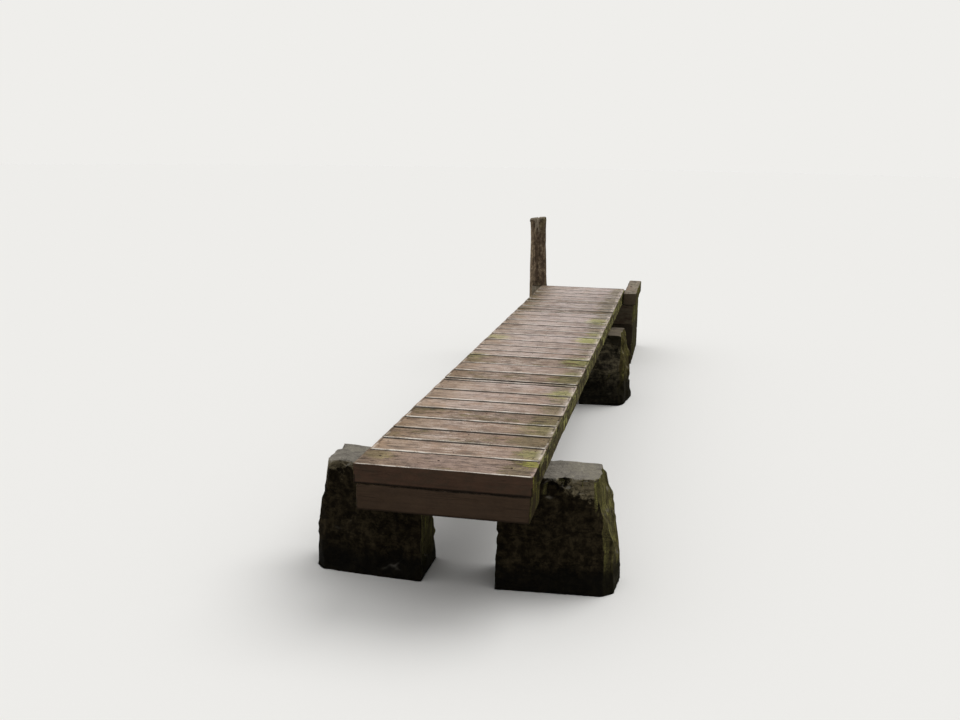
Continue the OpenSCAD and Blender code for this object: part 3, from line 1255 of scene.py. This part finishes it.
@dataclass
class Assembly:
    """A part of the bridge that is built with what the workshop shares."""

    shop: Workshop


@dataclass
class Deck(Assembly):
    """The cross planks and the strip in the wide joint, with their nails."""

    wear: TimberWear = TimberWear(arris=0.0035, cup=0.0022, bow=0.002, rough=0.001, ends=0.0012)
    strip_wear: TimberWear = TimberWear(arris=0.005, bow=0.002, rough=0.003, ends=0.008)
    drop: Range = (0.0002, 0.0028)
    strip_drop: Range = (0.002, 0.004)
    nail: HeadShape = HeadShape(0.0042, 0.0014)
    nail_share: float = 0.56
    nail_spread: float = 0.1
    nail_drift: float = 0.012
    tone: Range = (0.45, 1.0)
    dark_tone: Range = (0.0, 0.2)
    dark_boards: Tuple[int, ...] = (2, 4, 8, 10, 20, 23)
    seed: int = 11

    def build(self) -> None:
        """Builds the planks, the strip and the nails."""
        rng = np.random.default_rng(self.seed)
        stringers = [f"stringer_{side}" for side in ("left", "centre", "right")]
        rows = [sum(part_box(node), Vector()).x / 2 for node in stringers]
        planks = sorted(n for n in frame["nodes"] if n.startswith("plank_"))
        nails: List[Optional[Vector]] = []
        for number, node in enumerate(planks, 1):
            drop = tuple(rng.uniform(*self.drop, 2))
            tone = rng.uniform(*(self.dark_tone if number in self.dark_boards else self.tone))
            board = self.shop.timber(node, "plank_wood", Lie.ACROSS, self.wear, number, drop, tone)
            nails += self._nail_places(board, rows, rng)
        strip, number = "filler_strip", len(planks) + 1
        self.shop.timber(strip, "plank_wood", Lie.ACROSS, self.strip_wear, number, self.strip_drop)
        self.shop.drive("deck_nails", nails, self.nail, self.seed)

    def _nail_places(
        self, board: bpy.types.Object, rows: Sequence[float], rng: np.random.Generator
    ) -> List[Optional[Vector]]:
        """Finds two places for nails over each stringer.

        Args:
            board: The plank.
            rows: The middles of the stringers.
            rng: The shared source of small irregularities.

        Returns:
            The places, on the plank's worn top.
        """
        ys = [v.co.y for v in board.data.vertices]
        middle, half = (min(ys) + max(ys)) / 2, (max(ys) - min(ys)) / 2
        places = []
        for row in rows:
            for side in (-1, 1):
                x = row + rng.uniform(-1, 1) * self.nail_drift
                share = self.nail_share + rng.uniform(-self.nail_spread, self.nail_spread)
                places.append(on_top(board, x, middle + side * half * share))
        return places


@dataclass
class EndBeam(Assembly):
    """The heavy beam that closes the near end, and the sill under it."""

    wear: TimberWear = TimberWear(0.0035, 0.0005, 0.0005, 0.0005, 0.001, 110, 30, 18)
    spike: HeadShape = HeadShape(0.0065, 0.002, 12)
    spike_xs: Triple = (-0.36, -0.05, 0.33)
    spike_shares: Range = (0.45, 0.62)
    spike_seed: int = 3
    sill_cell: float = 0.007
    sill_rough: float = 0.0035
    sill_tone: float = 0.5
    seed: int = 41

    def build(self) -> None:
        """Builds the beam, its spikes and the sill."""
        node = "near_end_beam"
        beam = self.shop.timber(node, "end_beam_wood", Lie.ACROSS, self.wear, self.seed)
        low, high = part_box(node)
        rng = np.random.default_rng(self.seed)
        places = []
        for x in self.spike_xs:
            share = rng.uniform(*self.spike_shares)
            places.append(on_top(beam, x, share * (high.y - low.y) + low.y))
        self.shop.drive("beam_spikes", places, self.spike, self.spike_seed)
        self._sill()

    def _sill(self) -> None:
        """Builds the rebated sill from its solid."""
        sill = Carving("near_sill", self.sill_cell)
        middle = (sill.low + sill.high) / 2
        sill.soften(2)
        grain = Grain(self.seed)
        sill.press(self.sill_rough * grain(sill.points, (3.0, 24.0, 24.0)))
        sill.bounded()
        gaps = (sill.high - sill.low) / 2 - np.abs(sill.start - middle)
        same = np.ones(len(sill.points))
        sill.store(timber=sill.start - middle, arris=np.sort(gaps, axis=1)[:, 1])
        sill.store(end_gap=gaps[:, 0], piece=same * (self.seed + 1), tone=same * self.sill_tone)
        sill.close("worn_near_sill", "sill_wood", self.shop)


@dataclass
class Stringers(Assembly):
    """The three timbers that carry the planks."""

    wear: TimberWear = TimberWear(0.007, 0.0, 0.004, 0.002, 0.004, 170, 10, 10)
    seed: int = 51

    def build(self) -> None:
        """Builds the three stringers."""
        for number, side in enumerate(("left", "centre", "right"), self.seed):
            self.shop.timber(f"stringer_{side}", "stringer_wood", Lie.ALONG, self.wear, number)


@dataclass
class RoughBlocks(Assembly):
    """A pair of rough stone blocks with flat tops and broken edges. Lengths are in metres."""

    BED_SHIFT = 3.7  # Lattice steps of noise between one bed's pattern and the next.

    nodes: str
    slot: str
    cell: float = 0.007
    lumps: float = 0.007
    lumps_a_metre: float = 5.0
    pits: float = 0.004
    pits_a_metre: float = 30.0
    facets: Chips = Chips(170, 0.005, 0.12, 0.09)
    flakes: Chips = Chips(60, 0.011, 0.06, 0.3)
    foot: float = 0.05
    bed: float = 0.09
    step: float = 0.004
    step_from: float = 0.45
    steps_a_metre: float = 5.0
    warp: float = 0.05
    warps_a_metre: float = 4.0
    level: float = 0.8
    steep: float = 0.5
    top_depth: float = 0.004
    top_share: float = 0.25
    top_wear: float = 0.004
    top_waves_a_metre: float = 14.0
    sharp: float = 0.12
    split: float = 0.0
    split_from: float = 0.3
    split_fade: float = 0.3
    split_crown: float = 0.02
    split_away: Triple = (0.88, -0.47, 0.05)
    seed: int = 60

    def build(self) -> None:
        """Builds both blocks of the pair."""
        for seed, side in enumerate(("left", "right"), self.seed):
            node = f"{self.nodes}_{side}"
            block = self._carve(node, seed)
            block.store_bend()
            block.close(f"rough_{node}", self.slot, self.shop)

    def _carve(self, node: str, seed: int) -> Carving:
        """Carves one block from its solid.

        Args:
            node: The solid's name.
            seed: Picks how it is broken.

        Returns:
            The carving.
        """
        block = Carving(node, self.cell)
        grain = Grain(seed)
        facing = block.normals()[:, 2]
        level, under = facing > self.level, facing < -self.level
        top = level & (block.start[:, 2] > block.high[2] - self.top_depth)
        depth = self.lumps * grain(block.points, self.lumps_a_metre, 3)
        depth += self.pits * grain(block.points, self.pits_a_metre, 3)
        depth += self._ledges(block.points, grain)
        depth[level] *= self.top_share
        depth[under] = 0.0
        block.press(depth)
        upper = block.points[:, 2] > block.low[2] + self.foot
        block.cleave(np.flatnonzero(upper & (np.abs(facing) < self.steep)), self.facets, seed)
        block.cleave(np.flatnonzero(upper & (block.bend() > self.sharp)), self.flakes, seed + 7)
        if self.split:
            self._split(block)
        sunk = block.high[2] - self.top_wear * grain(block.points, self.top_waves_a_metre, 4)
        block.points[top, 2] = np.minimum(np.maximum(block.points[:, 2], sunk), block.high[2])[top]
        block.bounded()
        return block

    def _split(self, block: Carving) -> None:
        """Splits the upper outer corner off a block.

        Args:
            block: The block.
        """
        outward = 1.0 if block.high[0] > -block.low[0] else -1.0
        away = np.array(self.split_away) * (outward, 1.0, 1.0)
        lean = block.points @ away
        crown = lean[block.start[:, 2] > block.high[2] - self.split_crown].max() - self.split
        fade = np.clip((block.points[:, 2] - self.split_from) / self.split_fade, 0.0, 1.0)
        block.points -= np.outer(np.maximum(lean - crown, 0.0) * fade, away)

    def _ledges(self, points: np.ndarray, grain: Grain) -> np.ndarray:
        """Works out how far each bed of the stone has split back.

        Args:
            points: The block's points.
            grain: The block's noise.

        Returns:
            The depth at each point.
        """
        warp = self.warp * grain(points, self.warps_a_metre, 2)
        bed = np.floor((points[:, 2] + warp) / self.bed)
        places = np.column_stack([points[:, :2] * self.steps_a_metre, bed * self.BED_SHIFT])
        return self.step * np.clip((grain(places, 1.0, 2) - self.step_from) * 4.0, 0.0, 1.0)


@dataclass
class Crib(Assembly):
    """The squared timbers under the far end, the wing timbers behind it and the kerb."""

    wear: TimberWear = TimberWear(0.013, 0.0, 0.006, 0.004, 0.008, 90, 26, 26)
    kerb_wear: TimberWear = TimberWear(0.012, 0.0, 0.005, 0.004, 0.006, 100, 18, 16)
    pin: HeadShape = HeadShape(0.011, 0.004, 12)
    pin_places: Tuple[Range, ...] = ((0.02, 0.13), (-0.02, 0.5), (0.015, 0.88))
    pin_seed: int = 5
    seed: int = 91

    def build(self) -> None:
        """Builds the sills, the wings, the kerb and its pins."""
        slot = "crib_wood"
        for course in (1, 2, 3):
            for kind, lie in (("sill", Lie.ACROSS), ("wing", Lie.ALONG)):
                number = self.seed + course * 2 + (lie is Lie.ALONG)
                self.shop.timber(f"far_{kind}_{course}", slot, lie, self.wear, number, tone=0.0)
        kerb = self.shop.timber("far_kerb", slot, Lie.ALONG, self.kerb_wear, self.seed, tone=1.0)
        low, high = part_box("far_kerb")
        middle, length = (low.x + high.x) / 2, high.y - low.y
        spots = [on_top(kerb, middle + dx, low.y + share * length) for dx, share in self.pin_places]
        self.shop.drive("kerb_pins", spots, self.pin, self.pin_seed)


@dataclass
class Post(Assembly):
    """The round log at the far left corner, which leans outwards. Lengths are in metres."""

    cell: float = 0.0055
    furrow: float = 0.009
    furrow_waves: Triple = (3.4, 3.4, 5.0)
    furrow_from: float = 0.6
    fine_waves: Triple = (10.0, 10.0, 14.0)
    bark_rough: float = 0.002
    swell: float = 0.009
    swell_waves: Triple = (0.9, 0.9, 2.2)
    rim: float = 0.012
    rim_depth: float = 0.02
    straighten: float = 0.012
    straighten_fade: float = 0.5
    sway: float = 0.01
    sway_from: float = 0.8
    sway_fade: float = 0.6
    crown: float = 0.009
    crown_height: float = 0.14
    slope: float = 0.03
    solid_crown: float = 0.06
    solid_foot: float = 0.001
    sawn_facing: float = 0.7
    hewn_facing: float = 0.97
    hewn_depth: float = 0.03
    hewn_even: float = 0.003
    hewn_reach: float = 0.98
    hewn_rough: float = 0.0015
    seed: int = 101

    def build(self) -> None:
        """Builds the log from its solid: furrowed bark, a hewn flat and a sawn top."""
        log_end = Carving("far_post", self.cell)
        place = log_end.points
        reach, from_axis = self._from_axis(log_end)
        radius = np.linalg.norm(from_axis, axis=1)
        facing = log_end.normals()
        top = facing[:, 2] > self.sawn_facing
        hewn = self._hewn(log_end, facing[:, 1], radius < reach * self.hewn_reach)
        cut = (top | hewn).astype(float)
        unit = np.column_stack([from_axis / np.maximum(radius, 0.01)[:, None], place[:, 2]])
        grain = Grain(self.seed)
        fine = grain(unit, self.fine_waves, 3)
        ridged = 1.0 - np.abs(2.0 * grain(unit, self.furrow_waves, 3) - 1.0)
        groove = np.clip((ridged - self.furrow_from) * 2.5, 0.0, 1.0)
        groove *= (0.3 + 0.7 * fine) * (1.0 - cut)

        depth = self.furrow * groove + self.bark_rough * fine
        depth += self.swell * grain(unit, self.swell_waves, 2)
        crown_z = place[:, 2] + self.rim > log_end.high[2] - self.rim_depth
        depth += np.where(crown_z & ~top, self.rim * 0.5 * fine, 0.0)
        below = np.clip((log_end.high[2] - place[:, 2]) / self.straighten_fade, 0.0, 1.0)
        depth += self.straighten * np.clip(unit[:, 0], 0.0, 1.0) * below
        log_end.press(np.where(cut > 0, self.hewn_rough * fine, depth))
        log_end.soften(1)
        swayed = np.clip((place[:, 2] - self.sway_from) / self.sway_fade, 0.0, 1.0)
        place[:, 0] += self.sway * swayed
        flare = np.clip((place[:, 2] - log_end.high[2]) / self.crown_height + 1.0, 0.0, 1.0)
        outward = unit[:, :2] * np.minimum(radius / reach * 1.5, 1.0)[:, None]
        place[:, :2] += outward * (self.crown * flare * (2.4 * fine - 0.2))[:, None]
        rotten = self.slope * (0.5 - 0.6 * unit[:, 1] + 2.0 * (fine - 0.5)) * top
        place[:, 2] -= np.maximum(rotten, 0.0)
        log_end.bounded()
        log_end.store(groove=groove, cut=log_end.around(cut), radius=radius)
        log_end.close("bark_post", "post_wood", self.shop)

    def _from_axis(self, log_end: Carving) -> Tuple[float, np.ndarray]:
        """Measures the solid, which leans.

        Args:
            log_end: The log.

        Returns:
            The radius of its foot, and the way to each point from the axis at its height.
        """
        solid = read(frame["nodes"][log_end.node].data.vertices, "co", 3)
        crown = solid[solid[:, 2] > log_end.high[2] - self.solid_crown]
        foot = solid[solid[:, 2] < log_end.low[2] + self.solid_foot]
        reach = (foot[:, 0].max() - foot[:, 0].min()) / 2
        start = np.array([foot[:, 0].min() + reach, foot[:, 1].max() - reach])
        lean = (crown.mean(axis=0)[:2] - start) / crown[:, 2].mean()
        place = log_end.points
        return reach, place[:, :2] - start - np.outer(place[:, 2], lean)

    def _hewn(self, log_end: Carving, facing: np.ndarray, inner: np.ndarray) -> np.ndarray:
        """Finds the flat that is hewn on the log's near side.

        Args:
            log_end: The log.
            facing: How far the surface faces along the bridge at each point.
            inner: Whether each point lies within the reach of the axis where the flat may be.

        Returns:
            Whether each point lies on the flat.
        """
        along = log_end.points[:, 1]
        hewn = inner & (facing < -self.hewn_facing) & (along < log_end.low[1] + self.hewn_depth)
        if hewn.any():
            hewn &= np.abs(along - np.median(along[hewn])) < self.hewn_even
        return hewn


@dataclass
class Studio:
    """The pale floor, the lamps and the camera, whose place is measured from the deck's edge."""

    floor_reach: float = 70.0
    floor_sides: int = 48
    floor: Colour = "efeeeb"
    floor_bounce: Colour = "8f8c86"
    sky: Colour = "ffffff"
    sky_low: float = 0.2
    sky_high: float = 0.82
    sun_power: float = 1.15
    sun_width: float = 0.7
    sun_from: Triple = (0.42, 0.38, 0.82)
    eye: Triple = (1.14124, -4.69412, 1.61547)
    right: Triple = (0.979132, 0.202723, 0.014280)
    up: Triple = (-0.057085, 0.206922, 0.976690)
    ahead: Triple = (-0.195043, 0.957125, -0.214176)
    lens: float = 38.574
    sensor: float = 36.0

    def build(self) -> None:
        """Builds the whole studio, and sets how its colours are shown."""
        self._floor()
        self._world()
        self._sun()
        self._camera()
        bpy.context.scene.view_settings.view_transform = "Standard"

    @staticmethod
    def _seen(g: Graph) -> Value:
        """Tells what the camera, gloss and glass see from other light.

        Args:
            g: The tree that needs it.

        Returns:
            1 for what they see, and 0 for other light.
        """
        path = g.node("ShaderNodeLightPath")
        outputs = ("Is Camera Ray", "Is Glossy Ray", "Is Transmission Ray")
        camera, gloss, glass = (Value(g, path.outputs[name]) for name in outputs)
        return g.clipped(camera + gloss + glass)

    def _floor(self) -> None:
        """Builds the floor."""
        material = bpy.data.materials.new("studio_floor")
        material.use_nodes = True
        g = Graph(material.node_tree)
        colour = g.blend(self._seen(g), self.floor_bounce, self.floor)
        shader = g.value("ShaderNodeBsdfDiffuse", {"Color": colour})
        g.node("ShaderNodeOutputMaterial", {"Surface": shader})
        mesh = bpy.data.meshes.new("studio_floor")
        r, n = self.floor_reach, self.floor_sides
        turns = [math.tau * i / n for i in range(n)]
        corners = [(r * math.cos(turn), r * math.sin(turn), 0.0) for turn in turns]
        mesh.from_pydata(corners, [], [tuple(range(n))])
        mesh.materials.append(material)
        add_piece("studio_floor", mesh)

    def _world(self) -> None:
        """Builds the soft light from all round, brighter from above."""
        world = bpy.data.worlds.new("studio_world")
        bpy.context.scene.world = world
        world.use_nodes = True
        g = Graph(world.node_tree)
        _, _, height = g.split(g.value("ShaderNodeTexCoord", output="Generated"))
        glow = height.smooth(-0.1, 0.9) * (self.sky_high - self.sky_low) + self.sky_low
        colour = g.blend(self._seen(g), g.blend(1.0, self.sky, glow, "MULTIPLY"), self.floor)
        shader = g.value("ShaderNodeBackground", {"Color": colour, "Strength": 1.0})
        g.node("ShaderNodeOutputWorld", {"Surface": shader})

    def _sun(self) -> None:
        """Adds one broad soft light from above, behind and to the right."""
        light = bpy.data.lights.new("soft_light", "SUN")
        light.energy, light.angle = self.sun_power, self.sun_width
        lamp = add_piece("soft_light", light)
        lamp.rotation_euler = Vector(self.sun_from).to_track_quat("Z", "Y").to_euler()

    def _camera(self) -> None:
        """Sets the camera where the photograph was taken from."""
        low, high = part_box("near_end_beam")
        data = bpy.data.cameras.new("camera")
        data.lens, data.sensor_width = self.lens, self.sensor
        camera = add_piece("camera", data)
        turned = Matrix((self.right, self.up, -Vector(self.ahead))).transposed().to_4x4()
        eye = Vector((0.0, low.y, high.z)) + Vector(self.eye)
        camera.matrix_world = Matrix.Translation(eye) @ turned
        bpy.context.scene.camera = camera


PLANK_MOSS = (
    MossPatch(0.41, 0.36, 0.14, 0.45),
    MossPatch(0.40, 1.65, 0.20, 0.6),
    MossPatch(0.38, 2.65, 0.22, 0.65),
    MossPatch(0.40, 3.50, 0.24, 0.8),
    MossPatch(0.38, 4.35, 0.24, 0.65),
    MossPatch(0.42, 3.78, 0.17, 0.5),
    MossPatch(0.40, 2.12, 0.32, 0.3),
    MossPatch(0.40, 0.85, 0.30, 0.22),
    MossPatch(-0.40, 3.45, 0.20, 0.5),
    MossPatch(-0.40, 2.70, 0.18, 0.4),
)
BEAM_MOSS = (MossPatch(0.42, 0.19, 0.10, 0.6), MossPatch(-0.38, 0.17, 0.13, 0.2))
FINISHES = (
    IronFinish(name="rusted_iron"),
    BarkFinish(name="post_wood"),
    WoodFinish(
        name="plank_wood",
        brown="8d7664", grey="aa9c97", side="655a43", worn="d4c5b9", arris_light_and_shade="efe7db",
        stain="57412f", damp="362f1f", algae="696447", moss="9d9b62",
        contrast=1.2, gloss=0.09, top_moss=0.85, side_moss=1.0, bleach_and_highlight=0.62,
        band=0.022, joint_shade_and_dirt=0.9, walked=0.7, patches=PLANK_MOSS,
    ),
    WoodFinish(
        name="end_beam_wood",
        brown="917d71", grey="95877d", side="544034", worn="d3c4b9", arris_light_and_shade="ebe2d6",
        ruddy="7d6a5a", damp="1e190b", algae="4c4522", moss="9c9a48",
        contrast=1.35, side_contrast=0.35, gloss=0.05, top_moss=0.8, side_moss=1.0,
        low_edge_dark=0.9, joint_shade_and_dirt=0.9, open_front=True, left_stain=0.4, patches=BEAM_MOSS,
    ),
    WoodFinish(
        name="sill_wood",
        brown="4f4238", grey="5b5148", side="4d3e32", worn="6b5f52",
        damp="332c1d", algae="4a4629", moss="5f5c30", side_contrast=0.35, side_moss=0.9,
    ),
    # The stringers' upper edge is darkened: a painted shadow line under the plank ends.
    WoodFinish(
        name="stringer_wood",
        brown="5d5142", grey="6a6051", side="4d4330", worn="7a6f5c",
        damp="3b3424", algae="666040", moss="a4a264", side_moss=1.0, arris_moss_and_shade=-0.6,
    ),
    WoodFinish(
        name="crib_wood",
        brown="6e6151", grey="7a7164", side="635a4a", worn="857a6a",
        damp="2b2514", algae="48431f", moss="66652c",
        top_moss=0.5, side_moss=0.9, darker_below=0.46,
    ),
    StoneFinish(
        name="rough_stone",
        base="342d20", dark="1f1a12", weathered="776e58", top="7b766d", rim="c0baad",
        side="4a442e", darker_below=0.2, rim_height=0.58, bare_from=0.62,
    ),
    StoneFinish(
        name="pier_stone",
        base="68614e", dark="37332a", weathered="2a261c", top="685f53", rim="968c76",
        side="3d3520", side_moss=0.65, darker_below=0.36, rim_height=0.56, bedding=0.8, seed=20.0,
    ),
)


def main() -> None:
    """Builds the bridge piece by piece, and then the studio round it."""
    logging.basicConfig(level=logging.INFO, format="%(message)s")
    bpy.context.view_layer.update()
    shop = Workshop(FINISHES)
    near_stones = RoughBlocks(shop, "near_stone", "rough_stone", split=0.022)
    piers = RoughBlocks(shop, "far_pier", "pier_stone", bed=0.06, step=0.009, seed=80)
    parts = (Deck(shop), EndBeam(shop), Stringers(shop), near_stones, piers, Crib(shop), Post(shop))
    for part in parts:
        part.build()
    Studio().build()


if __name__ == "__main__":
    main()
